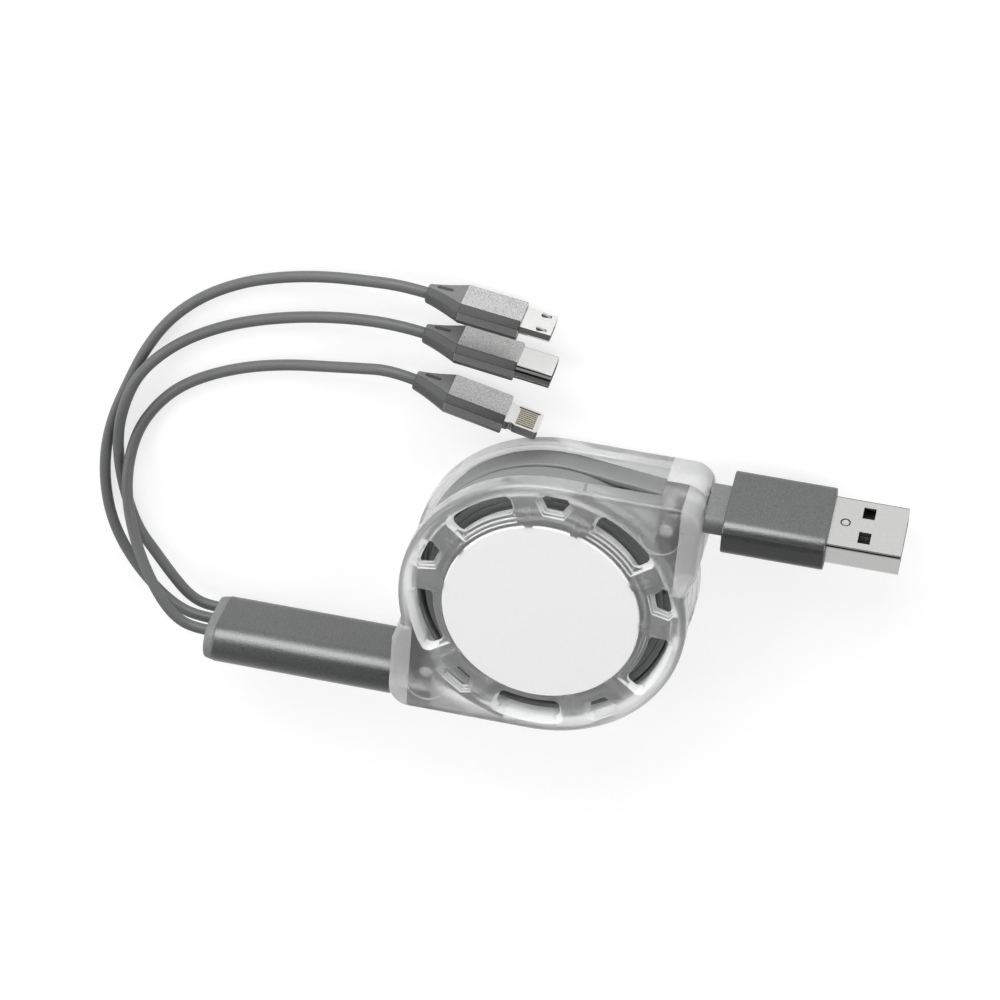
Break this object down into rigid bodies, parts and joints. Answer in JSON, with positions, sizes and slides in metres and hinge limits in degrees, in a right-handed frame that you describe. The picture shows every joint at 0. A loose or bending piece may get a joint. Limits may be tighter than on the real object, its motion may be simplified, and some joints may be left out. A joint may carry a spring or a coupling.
{
  "type": "retractable charging cable",
  "caption": "Clear round reel with spring-wound flat cable, a USB-A plug on one end and a splitter with thin cords to small phone plugs on the other.",
  "frame": {"origin": "on the reel's axis, at the rear cover's outer face", "axes": "+Z out of the front face along the reel's axis, +X towards the USB-A plug, +Y to the edge where the flat cable leaves for that plug"},
  "size_m": [0.1437, 0.0787, 0.0178],
  "materials": {
    "clear_plastic": "frosted clear",
    "face_plastic": "smooth pale",
    "spool_plastic": "moulded",
    "cable_jacket": "satin jacket",
    "anodised_metal": "dark grey anodised",
    "grip_metal": "grey anodised, fine blasted",
    "cap_plastic": "moulded grey",
    "dark_plastic": "moulded black",
    "nickel": "bright plated",
    "steel": "bright steel",
    "gold": "gold plated"
  },
  "bodies": {
    "housing": {"front_cover": "clear_plastic", "rear_cover": "clear_plastic", "face_disc": "face_plastic", "centre_screw": "steel", "lock_ball": "steel", "usb_lead": "cable_jacket", "splitter_lead": "cable_jacket"},
    "spool": {"spool": "spool_plastic", "usb_winding": "cable_jacket", "splitter_winding": "cable_jacket", "power_spring": "steel"},
    "usb_end": {"usb_boot": "cap_plastic", "usb_sleeve": "anodised_metal", "usb_core": "dark_plastic", "usb_shell": "nickel", "usb_tongue": "dark_plastic", "usb_contacts": "gold"},
    "splitter_end": {"splitter_sleeve": "anodised_metal", "splitter_core": "dark_plastic", "splitter_cord_cap": "cap_plastic", "micro_cord": "cable_jacket", "type_c_cord": "cable_jacket", "eight_pin_cord": "cable_jacket", "micro_relief": "cap_plastic", "micro_grip": "grip_metal", "micro_shell": "nickel", "micro_latches": "steel", "micro_insulator": "dark_plastic", "micro_contacts": "gold", "type_c_relief": "cap_plastic", "type_c_grip": "grip_metal", "type_c_shell": "nickel", "type_c_insulator": "dark_plastic", "type_c_contacts": "gold", "eight_pin_relief": "cap_plastic", "eight_pin_grip": "grip_metal", "eight_pin_blade": "nickel", "eight_pin_contacts": "gold"}
  },
  "joints": [
    {"name": "spool_spin", "type": "hinge", "parent": "housing", "child": "spool", "pos_m": [0, 0, 0], "axis": [0, 0, -1], "range_deg": [0, 1080], "stiffness_Nm_per_rad": 0.0002, "springref_deg": -687.55, "deforming": ["power_spring"]},
    {"name": "usb_pull", "type": "slide", "parent": "housing", "child": "usb_end", "axis": [1, 0, 0], "range_m": [0, 0.3907]},
    {"name": "splitter_pull", "type": "slide", "parent": "housing", "child": "splitter_end", "axis": [-1, 0, 0], "range_m": [0, 0.3907]}
  ],
  "couplings": [
    {"joint": "usb_pull", "follows": "spool_spin", "m_per_rad": 0.0207},
    {"joint": "splitter_pull", "follows": "spool_spin", "m_per_rad": 0.0207}
  ]
}
